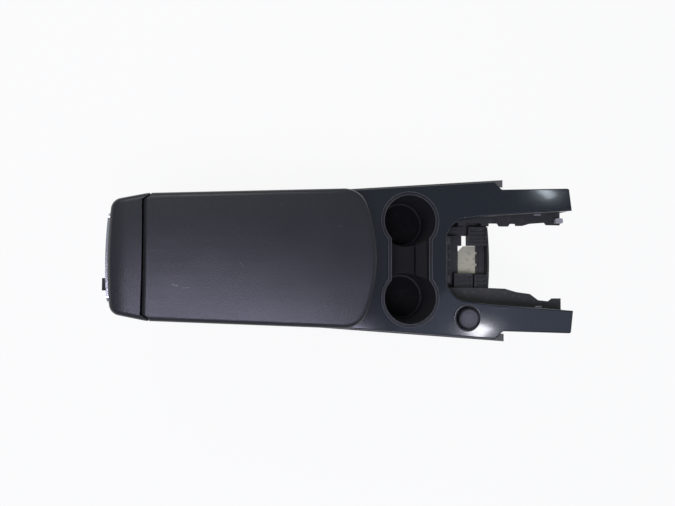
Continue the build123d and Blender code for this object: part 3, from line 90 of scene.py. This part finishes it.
class Finish:
    """One material of the console, patterned on the piece's own coordinates."""

    def __init__(self, name, roughness, **constants):
        self.material = bpy.data.materials.new(name)
        self.material.use_nodes = True
        self.tree = self.material.node_tree
        self.shader = self.tree.nodes["Principled BSDF"]
        self.place = self.node("TexCoord", out="Object")
        self.shader.inputs["Roughness"].default_value = roughness
        for socket, value in constants.items():
            self.shader.inputs[socket.replace("_", " ")].default_value = value

    def node(self, kind, settings=None, sockets=None, out=0):
        """Any node: its settings first, then the values or links of its sockets."""
        made = self.tree.nodes.new("ShaderNode" + kind)
        for key, value in (settings or {}).items():
            setattr(made, key, value)
        for key, value in (sockets or {}).items():
            if isinstance(value, Wire):
                self.tree.links.new(value.socket, made.inputs[key])
            else:
                made.inputs[key].default_value = value
        return Wire(self, made.outputs[out])

    def feed(self, **links):
        """Link wires to the shader's own sockets."""
        for socket, wire in links.items():
            self.tree.links.new(wire.socket, self.shader.inputs[socket.replace("_", " ")])

    def stretched(self, scale, turn=0.0):
        """The piece's coordinates, scaled and then turned about the upright axis."""
        sockets = {"Vector": self.place, "Rotation": (0, 0, turn), "Scale": scale}
        return self.node("Mapping", {}, sockets)

    def clouds(self, scale, detail, vector=None):
        """Soft noise."""
        sockets = {"Vector": vector or self.place, "Scale": scale, "Detail": detail}
        return self.node("TexNoise", {}, sockets)

    def cells(self, scale, feature="F1", out="Distance"):
        """Cells about one part in scale of a metre across."""
        sockets = {"Vector": self.place, "Scale": scale}
        return self.node("TexVoronoi", {"feature": feature}, sockets, out)

    def step(self, value, low, high):
        """0 below low, 1 above high, smooth between."""
        sockets = {"Value": value, "From Min": low, "From Max": high}
        return self.node("MapRange", {"interpolation_type": "SMOOTHSTEP"}, sockets)

    def blend(self, mask, dark, light):
        """A colour between two."""
        return self.node("Mix", {"data_type": "RGBA"}, {0: mask, 6: dark, 7: light}, 2)

    def near(self, point, size, vector=None):
        """1 at a point, falling to 0 at the given distances; a distance of 0 doesn't count."""
        sockets = {0: vector or self.place, 1: point}
        moved = self.node("VectorMath", {"operation": "SUBTRACT"}, sockets)
        scaled = self.node("VectorMath", {"operation": "DIVIDE"}, {0: moved, 1: size})
        reach = self.node("VectorMath", {"operation": "LENGTH"}, {0: scaled}, "Value")
        return 1 - self.step(reach, 0.0, 1.0)

    def relief(self, height, depth, edge=0.0):
        """Bump from a height, over edges softened by a small radius."""
        sockets = {"Height": height, "Distance": depth}
        if edge:
            sockets["Normal"] = self.node("Bevel", {"samples": 6}, {"Radius": edge})
        self.feed(Normal=self.node("Bump", {}, sockets))

    def dust(self, scale, share):
        """Scattered specks: a share of the cells hold one."""
        spot = 1 - self.step(self.cells(scale), 0.05, 0.16)
        colour = self.cells(scale, out="Color")
        chance = self.node("SeparateColor", {}, {0: colour}, "Red")
        return spot * self.step(chance, 1 - share, 1.001 - share)


def rgb(red, green, blue):
    """A colour with its alpha."""
    return (red, green, blue, 1.0)


def soft_skin():
    """Dark upholstery skin: fine pebble grain, a dusty bloom, a scuff and a scratch."""
    made = Finish(
        "soft_skin", 0.5, Sheen_Weight=0.05, Sheen_Roughness=0.5, Specular_IOR_Level=0.42
    )
    black, charcoal = rgb(0.0125, 0.013, 0.0145), rgb(0.019, 0.0195, 0.022)
    bloom, bared = rgb(0.040, 0.041, 0.046), rgb(0.24, 0.235, 0.23)
    patches = made.clouds(9.0, 4.0)
    grain = made.cells(850.0, "SMOOTH_F1")
    fine = made.clouds(900.0, 2.0)
    ragged = made.clouds(420.0, 4.0)
    colour = made.blend(patches, black, charcoal)
    colour = made.blend(fine * 0.35, colour, bloom)

    scuff_spots = (  # place, reach, strength
        ((-0.2315, -0.0368, 0.279), (0.0036, 0.0016, 0.02), 0.6),
        ((-0.2275, -0.0386, 0.279), (0.0056, 0.0014, 0.02), 0.8),
        ((-0.2155, -0.0412, 0.279), (0.0085, 0.0012, 0.02), 0.4),
    )
    scuff = sum(made.near(place, reach) * strength for place, reach, strength in scuff_spots)
    scratch_line = made.stretched((1.0, 1.0, 1.0), 0.95)
    scratch_reach = (0.01176, 0.000667, 0.0)
    scratch = made.near((-0.0749, -0.1210, 0.0), scratch_reach, scratch_line)
    marks = (scuff + scratch * 0.28) * (0.20 + made.step(ragged, 0.44, 0.58) * 0.80)
    # Rubbed patches where the skin has worn paler
    lightened = made.step(made.clouds(60.0, 5.0, made.stretched((1.0, 3.0, 1.0))), 0.66, 0.8)
    worn = marks + lightened * 0.05

    colour = made.blend(worn, colour, bared)
    made.feed(Base_Color=colour, Roughness=0.285 + patches * 0.08 + worn * 0.2)
    made.relief(grain * 0.8 + fine * 0.5 + ragged * 0.2, 0.00013, 0.0006)
    return made.material


def gloss_trim():
    """Gloss black panel with hazy smears, hairline scratches and settled dust."""
    made = Finish("gloss_trim", 0.12, Coat_Roughness=0.05)
    black, hazy = rgb(0.0060, 0.0085, 0.0125), rgb(0.0100, 0.0130, 0.0190)
    dusty = rgb(0.30, 0.31, 0.33)
    smear = made.clouds(14.0, 5.0)
    along = made.clouds(120.0, 3.0, made.stretched((0.12, 3.0, 1.0), 0.5))
    across = made.clouds(130.0, 3.0, made.stretched((3.0, 0.15, 1.0), -0.3))
    hair = made.step(along, 0.70, 0.74) * 0.5 + made.step(across, 0.72, 0.76) * 0.4
    specks = made.dust(330.0, 0.10) + made.dust(760.0, 0.08) * 0.7
    colour = made.blend(smear, black, hazy)
    colour = made.blend(specks * 0.26 + hair * 0.16, colour, dusty)
    made.feed(Base_Color=colour, Roughness=0.06 + smear * 0.10 + specks * 0.3 + hair * 0.2)
    made.feed(Coat_Weight=0.40 - specks * 0.4 - smear * 0.2)
    made.relief(smear * 0.3 + specks * 0.5, 0.00005, 0.0008)
    return made.material


def cup_painted_shading(made, colour):
    """Painted light and shade on the cup holder: the cup walls painted paler as if lit, and the
    floor between the two cups painted darker as shade, and made duller.
    """
    cups_x = 0.0978
    lightened, shaded = rgb(0.031, 0.031, 0.034), rgb(0.002, 0.002, 0.003)
    height = made.node("SeparateXYZ", {}, {0: made.place}, "Z")
    above_floor = made.step(height, 0.170, 0.186)
    at_rim = made.step(height, 0.2335, 0.2360)
    lit_walls = made.step(made.near((cups_x, 0.0, 0.205), (0.075, 0.15, 0.12)), 0.0, 0.25)
    # Painted light: the walls between the floor and the rim are made paler
    colour = made.blend(lit_walls * above_floor * (1 - at_rim), colour, lightened)
    # Painted shade: the floor between the cups is made darker; the same mask makes it duller
    neck = made.step(made.near((cups_x, 0.0, 0.204), (0.06, 0.05, 0.006)), 0.0, 0.3)
    return made.blend(neck, colour, shaded), neck * 0.3


def moulded(name, dark, light, roughness, gloss, grain_size, depth, dusty, painted_shading=None):
    """Grained moulded plastic with faint unevenness, pale rubbed spots and dust."""
    made = Finish(name, roughness, Specular_IOR_Level=gloss)
    dust_tone = rgb(0.32, 0.30, 0.27)
    patches = made.clouds(16.0, 4.0)
    grain = made.cells(1.0 / grain_size, "SMOOTH_F1")
    fine = made.clouds(2.4 / grain_size, 2.0)
    specks = made.dust(260.0, 0.18)
    mottle = made.step(made.clouds(95.0, 5.0), 0.52, 0.72)
    colour = made.blend(patches, rgb(*dark), rgb(*light))
    settled = specks * dusty + mottle * dusty * 0.12
    colour = made.blend(settled, colour, dust_tone)
    rough = roughness - 0.06 + patches * 0.14 + specks * 0.1
    # A piece's own painted light and shade, such as the cups' paler walls and darker neck floor
    if painted_shading:
        colour, duller = painted_shading(made, colour)
        rough = rough + duller
    made.feed(Base_Color=colour, Roughness=rough)
    made.relief(grain + fine * 0.6, depth, 0.0005)
    return made.material


def metal(name, colour, dull, roughness, brushed):
    """Bare or plated metal with fine brushing and a little dulling."""
    made = Finish(name, roughness, Metallic=1.0)
    patches = made.clouds(45.0, 4.0)
    lines = made.clouds(900.0, 2.0, made.stretched((0.05, 1.0, 1.0)))
    made.feed(Base_Color=made.blend(patches, rgb(*colour), rgb(*dull)))
    made.feed(Roughness=roughness + patches * 0.12 + lines * brushed)
    made.relief(lines, 0.00002, 0.0003)
    return made.material


def foam():
    """Open-pored pale foam."""
    made = Finish("foam_pad", 0.95)
    hollow, skin = rgb(0.34, 0.34, 0.33), rgb(0.55, 0.55, 0.53)
    pores = made.cells(900.0)
    made.feed(Base_Color=made.blend(pores, hollow, skin))
    made.relief(pores, 0.0004)
    return made.material


def sheet():
    """Pale sheet plate with uneven tone and dark stains."""
    made = Finish("pale_sheet", 0.6)
    sand, cream, grime = rgb(0.44, 0.43, 0.295), rgb(0.54, 0.525, 0.38), rgb(0.13, 0.12, 0.10)
    patches = made.clouds(60.0, 5.0)
    stain = made.step(made.clouds(140.0, 4.0), 0.56, 0.7)
    colour = made.blend(patches, sand, cream)
    made.feed(Base_Color=made.blend(stain * 0.4, colour, grime))
    made.feed(Roughness=0.5 + patches * 0.2)
    made.relief(patches, 0.0002, 0.0004)
    return made.material


plastics = {  # dark and light colour, roughness, gloss, grain size and depth, dust, own painted light and shade
    "grained_plastic": (
        (0.085, 0.083, 0.076), (0.12, 0.118, 0.108), 0.55, 0.45, 0.0011, 0.00016, 0.15
    ),
    "black_plastic": (
        (0.010, 0.010, 0.011), (0.016, 0.016, 0.0175), 0.42, 0.3, 0.0009, 0.00012, 0.08, cup_painted_shading
    ),
    "grey_plastic": (
        (0.060, 0.060, 0.068), (0.085, 0.085, 0.095), 0.42, 0.5, 0.0009, 0.0001, 0.1
    ),
    "warm_grey_plastic": (
        (0.022, 0.0225, 0.023), (0.04, 0.04, 0.039), 0.6, 0.4, 0.0012, 0.00018, 0.6
    ),
    "rubber_mat": (
        (0.0035, 0.0035, 0.0035), (0.006, 0.006, 0.006), 0.8, 0.15, 0.0014, 0.0002, 0.1
    ),
}
metals = {  # bright and dull colour, roughness, brushing
    "plated_steel": ((0.42, 0.42, 0.43), (0.26, 0.26, 0.26), 0.3, 0.1),
    "spring_steel": ((0.36, 0.35, 0.33), (0.22, 0.21, 0.20), 0.34, 0.12),
    "bright_chrome": ((0.72, 0.73, 0.75), (0.6, 0.61, 0.63), 0.06, 0.04),
}
finishes = {
    "soft_skin": soft_skin(),
    "gloss_trim": gloss_trim(),
    "foam_pad": foam(),
    "pale_sheet": sheet(),
}
for name, values in plastics.items():
    finishes[name] = moulded(name, *values)
for name, values in metals.items():
    finishes[name] = metal(name, *values)

for node in nodes.values():
    for place in node.material_slots:
        place.material = finishes[place.material.name.split(".")[0]]


def merged_copy(node):
    """A CAD node's mesh with its doubled corners joined."""
    shell = bmesh.new()
    shell.from_mesh(nodes[node].data)
    bmesh.ops.remove_doubles(shell, verts=shell.verts, dist=CAD_WELD)
    return shell


def cut_strips(shell, low, high, axis, pitch):
    """Cut a mesh across one axis, so that it can bend or sag."""
    across = Matrix.Identity(3)[axis]
    count = round((high[axis] - low[axis]) / pitch)
    for step in range(1, count):
        at = low + across * step * pitch
        geom = shell.verts[:] + shell.edges[:] + shell.faces[:]
        bmesh.ops.bisect_plane(shell, geom=geom, dist=FINE_WELD, plane_co=at, plane_no=across)


def add_piece(name, shell, finish, sharp, body=None):
    """A finished piece from a bmesh, smooth below a sharp angle, riding a body if one is named."""
    bmesh.ops.recalc_face_normals(shell, faces=shell.faces)
    mesh = bpy.data.meshes.new(name)
    shell.to_mesh(mesh)
    shell.free()
    mesh.polygons.foreach_set("use_smooth", [True] * len(mesh.polygons))
    mesh.set_sharp_from_angle(angle=math.radians(sharp))
    piece = bpy.data.objects.new(name, mesh)
    bpy.context.collection.objects.link(piece)
    piece.data.materials.append(finishes[finish])
    if body:
        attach(piece, body)
    return piece


def skin_cover(name, node, body, pitch, sag):
    """A padded solid in its bonded skin: cut in strips three ways, its top let down by sag."""
    firm_depth, giving_height = 0.014, 0.012
    ripple, ripple_scale = 0.0003, 22.0
    shell = merged_copy(node)
    low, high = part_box(node)
    for axis in range(3):
        cut_strips(shell, low, high, axis, pitch)
    middle = (low + high) / 2
    half = (high - low) / 2
    for vert in shell.verts:
        rise = min(max((vert.co.z - high.z + firm_depth) / giving_height, 0.0), 1.0)
        along = (vert.co.x - middle.x) / half.x
        side = (vert.co.y - middle.y) / half.y
        uneven = ripple * noise.noise(vert.co * ripple_scale)
        vert.co.z += rise * (uneven - sag(along, side))
    cover = add_piece(name, shell, "soft_skin", sharp=32, body=body)
    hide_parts(node)


def armrest_sag(along, side):
    """The lid's pad sinks at its nose, and a little along its two sides."""
    return 0.0022 * max(along, 0.0) ** 3 + 0.0006 * side ** 4 + 0.0004


def cap_sag(along, side):
    """The end cap falls away towards the rear, evenly from side to side."""
    return 0.0055 * max(-along, 0.0) ** 2 + 0.0004


skin_cover("armrest_cover", "armrest_pad", "lid", pitch=0.008, sag=armrest_sag)
skin_cover("cap_cover", "end_cap", "console", pitch=0.006, sag=cap_sag)


def circle(sides):
    """The cosine and sine of even steps round a circle."""
    angles = [math.tau * step / sides for step in range(sides)]
    return [(math.cos(angle), math.sin(angle)) for angle in angles]


def turned(section, closed):
    """A shell turned about the z axis from (radius, height) points."""
    shell = bmesh.new()
    spots = [shell.verts.new((radius, 0, height)) for radius, height in section]
    for first, second in zip(spots, spots[1:] + spots[:1] * closed):
        shell.edges.new((first, second))
    bmesh.ops.spin(
        shell,
        geom=shell.verts[:] + shell.edges[:],
        cent=(0, 0, 0),
        axis=(0, 0, 1),
        angle=math.tau,
        steps=64,
        use_merge=True,
    )
    bmesh.ops.remove_doubles(shell, verts=shell.verts, dist=FINE_WELD)
    return shell


def lighter_details():
    """The lighter's turned details: its knob's ringed face, and a plated bead on the edge of its
    bezel, a painted highlight for the light the bezel's glossy edge catches.
    """
    pull = Vector(joints["lighter_pull"]["axis"])
    seat = Vector((0.1833, -0.0852, 0.2376))
    turn = UP.rotation_difference(pull).to_matrix().to_4x4()

    def stand(shell, rise):
        """Set a turned shell above the seat, square to the pull."""
        place = Matrix.Translation(seat + pull * rise) @ turn
        bmesh.ops.transform(shell, matrix=place, verts=shell.verts)
        return shell

    low, top, face_rise = 0.0003, 0.0009, 0.009
    rings = [(0.0, low), (0.0078, low), (0.0083, top), (0.0095, top), (0.0100, low)]
    rings += [(0.0109, low), (0.0113, top), (0.0124, top), (0.0129, low)]
    rings += [(0.0129, -low), (0.0, -low)]
    face = stand(turned(rings, closed=False), face_rise)
    add_piece("lighter_face", face, "grey_plastic", sharp=40, body="lighter_button")

    # Painted highlight: a bright plated bead on the bezel's outer edge
    edge_radius, bead_radius, edge_rise = 0.0195, 0.0005, 0.0015
    bead = [(edge_radius + bead_radius * out, bead_radius * up) for out, up in circle(10)]
    edge = stand(turned(bead, closed=True), edge_rise)
    add_piece("bezel_highlight_bead", edge, "plated_steel", sharp=60, body="console")


lighter_details()


def wire_runs(wire):
    """The runs of corners along a wire mesh's edges, end to end."""
    left = dict.fromkeys(wire.edges)
    while left:
        edge = next(iter(left))
        del left[edge]
        first, spot = edge.verts
        run = [first.co.copy()]
        while spot is not first:
            run.append(spot.co.copy())
            onward = next((near for near in spot.link_edges if near in left), None)
            if onward is None:
                break
            del left[onward]
            spot = onward.other_vert(spot)
        yield run


def evenly(run, pitch):
    """A closed run of corners, spaced evenly at about a pitch."""
    steps = list(zip(run, run[1:] + run[:1]))
    total = sum((end - start).length for start, end in steps)
    count = round(total / pitch)
    spots, passed = [], 0.0
    for start, end in steps:
        length = (end - start).length
        while len(spots) < count and total * len(spots) / count < passed + length:
            share = (total * len(spots) / count - passed) / length
            spots.append(start.lerp(end, share))
        passed += length
    return spots


def closed_tube(shell, spots, radius, sides=8):
    """A tube through a closed run of points."""
    section = circle(sides)
    rings = []
    for index, spot in enumerate(spots):
        ahead = (spots[(index + 1) % len(spots)] - spots[index - 1]).normalized()
        side = ahead.cross(UP).normalized()
        above = side.cross(ahead)
        ring = [spot + radius * (out * side + up * above) for out, up in section]
        rings.append([shell.verts.new(place) for place in ring])
    for ring, onward in zip(rings, rings[1:] + rings[:1]):
        for index in range(sides):
            shell.faces.new((ring[index - 1], ring[index], onward[index], onward[index - 1]))


def cup_rim_highlights():
    """A paler grey bead along both edges of the cup holder's rim: a painted highlight for the
    light its rounded edges catch.
    """
    rim_drop, level = 0.0065, 0.9
    bead_pitch, bead_radius = 0.0015, 0.0005
    rim = merged_copy("cup_holder")
    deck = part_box("cup_holder")[1].z
    lines = set()
    for edge in rim.edges:
        flat = [face for face in edge.link_faces if face.normal.z > level]
        flat = [face for face in flat if face.calc_center_median().z > deck - rim_drop]
        if len(flat) == 1:
            lines.add(edge)
    spare = [edge for edge in rim.edges if edge not in lines]
    bmesh.ops.delete(rim, geom=spare, context="EDGES_FACES")
    loose = [vert for vert in rim.verts if not vert.link_edges]
    bmesh.ops.delete(rim, geom=loose, context="VERTS")
    shell = bmesh.new()
    for run in wire_runs(rim):
        closed_tube(shell, evenly(run, bead_pitch), bead_radius)
    rim.free()
    # The beads are painted highlights, in paler grey plastic
    add_piece("cup_rim_highlights", shell, "grey_plastic", sharp=60, body="console")


cup_rim_highlights()


def leaf_spring(node, tip, strips=24):
    """A spring as a piece of its own in spring steel, cut in strips across its height, with its
    CAD node hidden; the tip is not used.
    """
    shell = merged_copy(node)
    low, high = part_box(node)
    cut_strips(shell, low, high, axis=2, pitch=(high.z - low.z) / strips)
    spring = add_piece(node + "_leaf", shell, "spring_steel", sharp=30)
    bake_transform(spring)
    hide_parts(node)


def leaf_springs():
    """The two cup fingers' springs and the latch's, each made a piece of its own."""
    for side in ("left", "right"):
        push = joints["grip_" + side + "_push"]
        node = "grip_spring_" + side
        leaf_spring(node, push["pos_m"][2])
    low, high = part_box("latch_spring")
    leaf_spring("latch_spring", low.z)


leaf_springs()


def pale_floor():
    """A pale floor: it keeps the console's shadow and looks nearly white, in gloss too."""
    half_width, whiteness = 6.0, 0.9
    bare = bmesh.new()
    bmesh.ops.create_grid(bare, x_segments=1, y_segments=1, size=half_width)
    mesh = bpy.data.meshes.new("floor")
    bare.to_mesh(mesh)
    bare.free()
    floor = bpy.data.objects.new("floor", mesh)
    bpy.context.collection.objects.link(floor)
    pale = Finish("floor", 0.9)
    pale.shader.inputs["Base Color"].default_value = rgb(0.92, 0.92, 0.92)
    rays = ("Is Camera Ray", "Is Glossy Ray", "Is Transmission Ray")
    seen = sum(pale.node("LightPath", out=ray) for ray in rays)
    glow = pale.node("Emission", {}, {"Color": rgb(1.0, 1.0, 1.0), "Strength": 1.0})
    shaded = Wire(pale, pale.shader.outputs[0])
    mixed = pale.node("MixShader", {}, {0: seen * whiteness, 1: shaded, 2: glow})
    pale.tree.links.new(mixed.socket, pale.tree.nodes["Material Output"].inputs["Surface"])
    floor.data.materials.append(pale.material)


def lamp(name, place, target, width, depth, power, colour):
    """A soft rectangular lamp, turned towards a target."""
    light = bpy.data.lights.new(name, "AREA")
    light.shape = "RECTANGLE"
    light.size = width
    light.size_y = depth
    light.energy = power
    light.color = colour
    made = bpy.data.objects.new(name, light)
    bpy.context.collection.objects.link(made)
    made.location = place
    made.rotation_euler = (Vector(target) - Vector(place)).to_track_quat("-Z", "Y").to_euler()


def room_light():
    """A dim, cool room, two large lamps overhead and three cards for the gloss to show."""
    world = bpy.data.worlds.new("room")
    bpy.context.scene.world = world
    world.use_nodes = True
    sky = world.node_tree.nodes["Background"]
    sky.inputs["Color"].default_value = rgb(0.82, 0.90, 1.0)
    sky.inputs["Strength"].default_value = 0.32

    violet, warm, cool = (0.77, 0.73, 1.0), (1.0, 0.99, 0.96), (0.62, 0.70, 1.0)
    near_white, pale_blue = (0.93, 0.93, 1.0), (0.80, 0.90, 1.0)
    lamp("window", (-0.29, -0.48, 1.8), (-0.1, 0.0, 0.24), 1.1, 0.5, 14.5, violet)
    lamp("fill", (-0.6, 1.25, 1.6), (0.0, 0.0, 0.24), 1.2, 1.0, 9.0, warm)
    lamp("soft_card", (0.80, -0.52, 1.8), (0.2, -0.09, 0.24), 1.0, 0.70, 1.3, cool)
    lamp("near_card", (0.754, -0.465, 1.79), (0.2, -0.103, 0.238), 0.09, 0.08, 0.75, near_white)
    lamp("far_card", (1.069, 0.566, 1.8), (0.305, 0.102, 0.238), 0.10, 0.045, 0.2, pale_blue)


def camera_above():
    """The camera over the console, looking almost straight down."""
    picture_width, focal_length = 675.0, 585.0  # in pixels
    place = (-0.0917, -0.0275, 1.075)
    lens = bpy.data.cameras.new("camera")
    lens.sensor_fit = "HORIZONTAL"
    lens.sensor_width = 36.0
    lens.lens = 36.0 * focal_length / picture_width
    camera = bpy.data.objects.new("camera", lens)
    bpy.context.collection.objects.link(camera)
    turn = Matrix.Translation(place)
    for degrees, axis in ((0.24, "Z"), (-5.7, "Y"), (2.42, "X")):
        turn = turn @ Matrix.Rotation(math.radians(degrees), 4, axis)
    camera.matrix_world = turn
    bpy.context.scene.camera = camera
    bpy.context.scene.view_settings.view_transform = "Standard"


pale_floor()
room_light()
camera_above()
bpy.context.view_layer.update()
